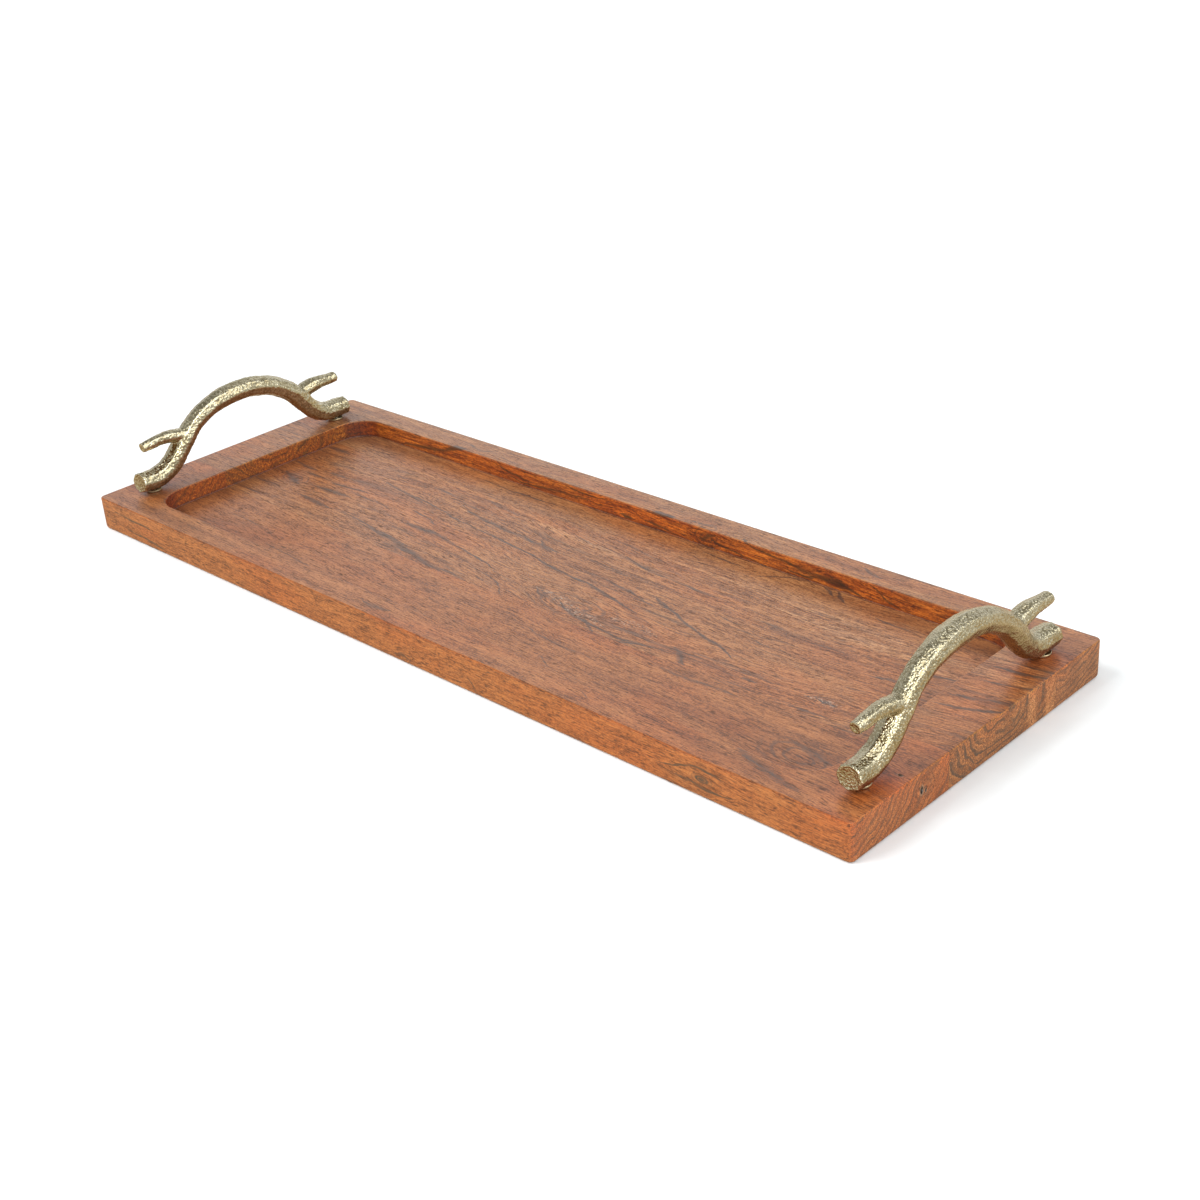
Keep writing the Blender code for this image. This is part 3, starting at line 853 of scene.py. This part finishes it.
        # streaked grain, with painted shade darkening and reddening all the inner walls
        streaks = graph.ramp(self.fibres(38, 1.3, 3.0, 0.62), WALL_STREAKS_AND_SHADE)
        colour = graph.blend(wall, colour, streaks, mode="MULTIPLY")
        # painted shade: the rounded corners of the recess wall darker
        turned = graph.absolute(graph.times(self.normal_x, self.normal_y))
        corner = graph.times(graph.step(turned, 0.08, 0.34), wall)
        colour = graph.tint(corner, colour, CORNER_SHADE_TINT)
        radius = RECESS_CORNER / MM
        over_x = graph.larger(graph.minus(size_x, WALL_X - radius), 0.0)
        over_y = graph.larger(graph.minus(size_y, WALL_Y - radius), 0.0)
        outward = graph.vector("LENGTH", graph.join(over_x, over_y, 0.0), output="Value")
        # painted shadow line at the foot of the recess wall
        foot = graph.times(graph.step(outward, radius - 1.6, radius - 0.1),
                           graph.step(self.z, 10.2, 9.5))
        foot = graph.times(foot, graph.step(outward, radius + 1.5, radius + 0.5))
        return graph.tint(foot, colour, WALL_FOOT_SHADOW_TINT)

    def face_tints(self, colour, end_tone):
        """Face by face: end grain; painted shade on walls, right rim and feet; painted light on
        sides and edges.
        """
        graph = self.graph
        size_x, size_y = graph.absolute(self.x), graph.absolute(self.y)
        upright_face = graph.step(graph.absolute(self.normal_z), 0.8, 0.3)
        colour = graph.tint(self.end_grain, colour, end_tone)
        colour = self.inner_wall_tints(colour, upright_face)
        # painted shade on the right rim, beside the handle
        right_rim = graph.times(graph.step(self.x, WALL_X + 1, WALL_X + 15),
                                graph.step(self.z, 12.0, 16.0))
        colour = graph.tint(right_rim, colour, RIGHT_RIM_SHADE_TINT)
        # painted shade and reflection of the handle round each foot
        beside = graph.times_plus(size_x, 1 / FOOT_SHADE_SIZE[0], -FOOT_PLACE[0] / FOOT_SHADE_SIZE[0])
        abreast = graph.times_plus(size_y, 1 / FOOT_SHADE_SIZE[1], -FOOT_PLACE[1] / FOOT_SHADE_SIZE[1])
        squared = graph.times_plus(beside, beside, graph.times(abreast, abreast))
        foot_shade = graph.math("EXPONENT", graph.times(squared, -1.0))
        foot_shade = graph.times(foot_shade, graph.step(self.z, 17.0, 18.0))
        colour = graph.tint(foot_shade, colour, FOOT_SHADE_TINT)
        # painted light on the outer sides
        outer_side = graph.times(graph.step(size_y, 86.5, 88.5), upright_face)
        colour = graph.tint(outer_side, colour, SIDE_LIGHT_TINT)
        edge = graph.times(graph.step(self.z, 17.6, 17.9), graph.step(self.normal_z, 0.97, 0.85))
        self.edge = graph.times(edge, graph.step(self.normal_z, 0.1, 0.3))
        # painted highlight: the orange line along the eased edges, paler on the right end
        colour = graph.tint(self.edge, colour, EDGE_HIGHLIGHT_TINT)
        end_edge = graph.times(self.edge, graph.step(self.normal_x, 0.2, 0.5))
        return graph.tint(end_edge, colour, RIGHT_EDGE_HIGHLIGHT_TINT)

    def surface(self, colour):
        """Sets the shader: a satin oil, duller in pores, on end grain and along eased edges."""
        graph, shader = self.graph, self.shader
        polish = self.cloud((0.03, 0.05, 0.05), 2.0)
        rough = graph.times_plus(polish, 0.12, 0.28)
        rough = graph.times_plus(self.pores, 0.25, rough)
        rough = graph.times_plus(graph.larger(self.end_grain, self.edge), 0.12, rough)
        graph.feed(shader, Base_Color=colour, Roughness=rough)
        height = graph.minus(graph.times(self.coarse, 0.5), graph.times(self.pores, 0.6))
        graph.relief(shader, height, strength=0.4, depth=0.12)
        shader.inputs["IOR"].default_value = OIL_IOR


def wood_material(name, seed, height, pith, stretch, drift, knots, tones, figure, marks,
                  end_tone, pale_band=(), specks=(), stain=()):
    """The material of one stave.

    height is the range in y of its drawn tracks. marks is the function that draws its own dark
    marks. pale_band, specks and stain are tracks: of paler wood, of grey specks and of broad
    dark patches.
    """
    wood = Wood(name, seed, height)
    wood.lay_grain(pith, stretch, drift, knots)
    colour = wood.ground(tones, figure, pale_band, stain)
    colour = wood.details(colour, figure, marks, specks)
    colour = wood.face_tints(colour, end_tone)
    wood.surface(colour)
    return wood.material


# ---------------------------------------------------------------- metals

BRASS = ((0.0, (0.27, 0.215, 0.11)), (0.45, (0.47, 0.425, 0.285)), (1.0, (0.68, 0.64, 0.52)))
# painted reflection: the brown wood below, on the castings' undersides
BRASS_UNDERSIDE_PAINTED_REFLECTION = (0.74, 0.56, 0.42)


def brass_material(name, coarse, strength):
    """Cast brass with a satin lacquer: browner in its hollows, bright on its pebbles, a painted
    brown reflection underneath.

    coarse is the width of the pebbles as in hammered, and strength how strong their relief is.
    """
    material, graph, shader = new_material(name)
    place = millimetres(graph)
    pointiness = graph.add("ShaderNodeNewGeometry", {}, "Pointiness")
    raised = graph.step(pointiness, 0.46, 0.54)
    blotches = graph.noise(graph.scaled(place, 0.12), detail=3.0)
    grain = graph.noise(graph.scaled(place, 2.6), detail=2.0, rough=0.6)
    bend = graph.noise(graph.scaled(place, 0.8), detail=1.0, output="Color")
    bent = graph.vector("ADD", graph.scaled(place, 1.15 / coarse), bend)
    cells = graph.add("ShaderNodeTexVoronoi", {"Vector": bent, "Scale": 1.0, "Smoothness": 0.35},
                      "Distance", feature="SMOOTH_F1")
    pebbles = graph.step(cells, 0.75, 0.1)
    level = graph.times_plus(raised, 0.25, 0.05)
    level = graph.times_plus(graph.minus(blotches, 0.5), 0.5, level)
    level = graph.times_plus(pebbles, 0.45, level)
    level = graph.times_plus(graph.minus(grain, 0.5), 0.4, level)
    colour = graph.ramp(level, BRASS)
    normal_z = graph.split(graph.add("ShaderNodeTexCoord", {}, "Normal"))[2]
    # painted reflection and shade of the wood on the undersides
    colour = graph.tint(graph.step(normal_z, -0.25, -0.85), colour, BRASS_UNDERSIDE_PAINTED_REFLECTION)
    graph.feed(shader, Base_Color=colour, Roughness=graph.times_plus(grain, 0.10, 0.09))
    height = graph.times_plus(grain, 0.2, pebbles)
    graph.relief(shader, height, strength, depth=0.17 * coarse)
    shader.inputs["Metallic"].default_value = 1.0
    return material


def turned_material(name, dark, bright, roughness):
    """Plain turned metal with fine tool marks round it, for the small fittings."""
    material, graph, shader = new_material(name)
    place = millimetres(graph)
    marks = graph.noise(graph.vector("MULTIPLY", place, (0.7, 0.7, 9.0)), detail=2.0)
    stain = graph.noise(graph.scaled(place, 0.5), detail=3.0)
    level = graph.times_plus(marks, 0.4, graph.times(stain, 0.6))
    colour = graph.ramp(level, [(0.3, dark), (0.7, bright)])
    graph.feed(shader, Base_Color=colour, Roughness=graph.times_plus(marks, 0.2, roughness))
    graph.relief(shader, marks, strength=0.3, depth=0.05)
    shader.inputs["Metallic"].default_value = 1.0
    return material


def dress_fittings():
    """Better materials on the CAD spacers and screws, which keep their shape."""
    brass = turned_material("spacer_brass", (0.40, 0.33, 0.18), (0.62, 0.55, 0.36), 0.22)
    zinc = turned_material("zinc_plate", (0.42, 0.42, 0.43), (0.68, 0.68, 0.67), 0.26)
    for name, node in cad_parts.items():
        if name.startswith(("foot_spacer", "screw")):
            chosen = brass if name.startswith("foot_spacer") else zinc
            for place in node.material_slots:
                place.link = "OBJECT"
                place.material = chosen


# ---------------------------------------------------------------- studio

FLOOR_SIZE = 12.0               # m
PAPER = ((0.3, (0.875, 0.91, 0.92)), (0.7, (0.905, 0.94, 0.95)))
MIRRORED_PAPER = (0.62, 0.50, 0.34)     # painted reflection: the paper darker and browner as the brass and the oiled sides mirror it
PAPER_LIFT = 0.04               # keeps it white to the camera


def make_floor():
    bm = bmesh.new()
    bmesh.ops.create_grid(bm, x_segments=8, y_segments=8, size=FLOOR_SIZE / 2)
    floor = mesh_object("studio_floor", bm)
    floor.location.z = -0.05 * MM
    material, graph, shader = new_material("white_paper")
    place = graph.add("ShaderNodeTexCoord", {}, "Object")
    tooth = graph.noise(graph.scaled(place, 60.0), detail=2.0)
    colour = graph.ramp(tooth, PAPER)
    glossy = graph.add("ShaderNodeLightPath", {}, "Is Glossy Ray")
    # painted reflection: glossy rays see the paper darker and browner
    colour = graph.cover(glossy, colour, MIRRORED_PAPER)
    shader.inputs["Roughness"].default_value = 0.9
    shader.inputs["Specular IOR Level"].default_value = 0.1
    shader.inputs["Emission Color"].default_value = (1, 1, 1, 1)
    seen = graph.add("ShaderNodeLightPath", {}, "Is Camera Ray")
    graph.feed(shader, Base_Color=colour, Emission_Strength=graph.times(seen, PAPER_LIFT))
    floor.data.materials.append(material)


def bearing(azimuth, elevation):
    """The direction from the tray at a bearing from -Y towards +X and a height, in degrees."""
    turn, rise = math.radians(azimuth), math.radians(elevation)
    return Vector((math.sin(turn) * math.cos(rise), -math.cos(turn) * math.cos(rise),
                   math.sin(rise)))


# The sky by height, as (height, grey): what lights the tray, and what its brass and oil mirror
LIT_SKY = ((0.0, 1.0), (0.45, 1.0), (0.75, 0.60), (1.0, 0.45))
MIRRORED_SKY = ((0.0, 0.95), (0.46, 1.0), (0.64, 0.56), (0.8, 0.40), (1.0, 0.30))

# Soft round patches of the mirrored sky, as (azimuth, elevation, the cosines of their edge and
# of their full middle, strength): shade is multiplied into the sky and glow is added to it
SHADE_BASE = 1.15
SHADE_PATCHES = ((-84, 25, 0.75, 0.97, -0.45), (100, 12, 0.70, 0.95, -0.35),
                 (170, 48, 0.75, 0.95, -0.55))
GLOW_PATCHES = ((-25, 48, 0.80, 0.94, 0.14), (96, 56, 0.80, 0.92, 2.4),
                (-155, 50, 0.90, 0.97, 0.30))


def sky_patches(graph, direction, patches, level):
    """The grey level, raised or lowered where the direction lies in a patch."""
    for azimuth, elevation, edge, middle, strength in patches:
        facing = graph.vector("DOT_PRODUCT", direction, tuple(bearing(azimuth, elevation)),
                              output="Value")
        level = graph.times_plus(graph.step(facing, edge, middle), strength, level)
    return graph.join(level, level, level)


def make_world():
    """White to the camera, greyer overhead as a light, and a shaped sky in reflections."""
    world = bpy.data.worlds.new("studio")
    bpy.context.scene.world = world
    world.use_nodes = True
    graph = Graph(world.node_tree)
    direction = graph.add("ShaderNodeTexCoord", {}, "Generated")
    height = graph.split(direction)[2]
    sky, mirrored = (graph.ramp(height, [(level, (grey, grey, grey)) for level, grey in stops])
                     for stops in (LIT_SKY, MIRRORED_SKY))
    shade = sky_patches(graph, direction, SHADE_PATCHES, SHADE_BASE)
    mirrored = graph.blend(1.0, mirrored, shade, mode="MULTIPLY")
    glow = sky_patches(graph, direction, GLOW_PATCHES, 0.0)
    mirrored = graph.blend(1.0, mirrored, glow, mode="ADD")
    glossy = graph.add("ShaderNodeLightPath", {}, "Is Glossy Ray")
    sky = graph.blend(glossy, sky, mirrored)
    seen = graph.add("ShaderNodeLightPath", {}, "Is Camera Ray")
    shown = graph.cover(seen, sky, (1.0, 1.0, 1.0))
    graph.feed(world.node_tree.nodes["Background"], Color=shown)


def add_light(name, lamp, back, distance):
    light = bpy.data.objects.new(name, lamp)
    light.location = back * distance
    light.rotation_mode = "QUATERNION"
    light.rotation_quaternion = back.to_track_quat("Z", "Y")
    bpy.context.scene.collection.objects.link(light)


def soft_box(name, azimuth, elevation, distance, width, height, brightness):
    """A rectangular light aimed at the tray; brightness is what a mirror would see."""
    lamp = bpy.data.lights.new(name, "AREA")
    lamp.shape = "RECTANGLE"
    lamp.size = width
    lamp.size_y = height
    lamp.energy = brightness * math.pi * width * height
    add_light(name, lamp, bearing(azimuth, elevation), distance)


def key_light(azimuth, elevation, strength, angle):
    lamp = bpy.data.lights.new("key", "SUN")
    lamp.energy = strength
    lamp.angle = math.radians(angle)
    add_light("key", lamp, bearing(azimuth, elevation), 2.0)
    bpy.data.objects["key"].visible_glossy = False


def make_camera():
    back = bearing(CAMERA_AZIMUTH, CAMERA_ELEVATION)
    data = bpy.data.cameras.new("camera")
    data.sensor_width = 36
    data.lens = CAMERA_LENS
    camera = bpy.data.objects.new("camera", data)
    level = (-back).to_track_quat("-Z", "Y")
    roll = Matrix.Rotation(math.radians(CAMERA_ROLL), 4, "Z")
    camera.matrix_world = (Matrix.Translation(CAMERA_AIM + back * CAMERA_DISTANCE)
                           @ level.to_matrix().to_4x4() @ roll)
    bpy.context.scene.collection.objects.link(camera)
    bpy.context.scene.camera = camera


make_camera()
make_floor()
make_world()
key_light(azimuth=-40, elevation=47, strength=1.95, angle=36)
soft_box("box_right", 48, 43, 2.0, 1.0, 0.6, 5.0)
soft_box("box_low_right", 78, 33, 2.0, 0.4, 0.4, 3.5)
soft_box("box_back_right", 144, 38, 2.0, 0.45, 0.45, 3.0)
bpy.context.scene.view_settings.view_transform = "Standard"

front_wood = wood_material(
    "oiled_acacia_front", seed=(3.1, 8.3, 1.7), height=FRONT_HEIGHT, pith=(-115, 55), stretch=1.3,
    drift=((-256, 4), (-100, 1), (60, -1), (256, -5)),
    knots=(((181, -89, 9), (16, 10, 7), 0.7, 0.25), ((0, -90, 3.5), (8, 6, 4), 0.6, 0.0),
           ((256, -42, 11), (20, 11, 8), 0.8, 0.0), ((200, -52, 9), (22, 12, 14), 0.5, 0.0)),
    tones=((0.11, 0.033, 0.010), (0.315, 0.109, 0.032), (0.44, 0.175, 0.058)),
    figure=Figure(bands=0.45, fibres=0.45, mottle=1.0, streaks=0.3, flecks=0.4, rings=0.7),
    marks=front_marks, stain=FRONT_STAIN, end_tone=(1.56, 1.30, 1.02))
centre_wood = wood_material(
    "oiled_acacia_centre", seed=(11.9, 2.2, 5.4), height=CENTRE_HEIGHT, pith=(4, 20), stretch=1.7,
    drift=((-256, 6), (-180, 6), (-100, 4), (0, -4), (60, -9), (130, -9), (190, -3), (256, 6)),
    knots=(((33, -13, 9), (34, 13, 30), 0.6, 0.0), ((184, -12, 9), (9, 5, 12), 0.7, 0.12),
           ((-203, 5, 9), (16, 8, 20), 0.5, 0.0)),
    tones=((0.11, 0.036, 0.012), (0.338, 0.128, 0.042), (0.47, 0.21, 0.078)),
    figure=Figure(bands=0.7, fibres=0.8, mottle=0.5, streaks=1.1, flecks=0.6, rings=1.0),
    marks=centre_marks, end_tone=(1.45, 1.31, 1.06),
    pale_band=CENTRE_PALE, specks=CENTRE_SPECKS, stain=CENTRE_STAIN)
back_wood = wood_material(
    "oiled_acacia_back", seed=(21.3, 14.8, 9.6), height=BACK_HEIGHT, pith=(50, 70), stretch=1.2,
    drift=((-256, 3), (-80, 0), (60, 2), (126, -2), (256, 3)),
    knots=(((126, 73, 13), (18, 8, 6), 0.8, 0.10), ((201, 56.5, 9), (6, 4, 12), 0.7, 0.2),
           ((-11, 73, 11), (9, 6, 5), 0.7, 0.15), ((44, 75, 14), (12, 8, 9), 0.7, 0.0)),
    tones=((0.12, 0.044, 0.017), (0.345, 0.142, 0.052), (0.47, 0.22, 0.085)),
    figure=Figure(bands=0.6, fibres=0.8, mottle=0.7, streaks=0.7, flecks=0.5, rings=0.75),
    marks=back_marks, stain=BACK_STAIN, end_tone=(1.36, 1.20, 1.06))
for wood, name, low_y, high_y in (
        (front_wood, "front", -WIDTH, JOINT_FRONT),
        (centre_wood, "centre", JOINT_FRONT, JOINT_BACK),
        (back_wood, "back", JOINT_BACK, WIDTH)):
    stave = make_stave(f"{name}_stave", f"stave_{name}", low_y, high_y, wood)

for side, coarse, strength in (("left", 1.4, 0.42), ("right", 1.0, 0.70)):
    make_handle(side, brass_material(f"cast_brass_{side}", coarse, strength), coarse)
dress_fittings()
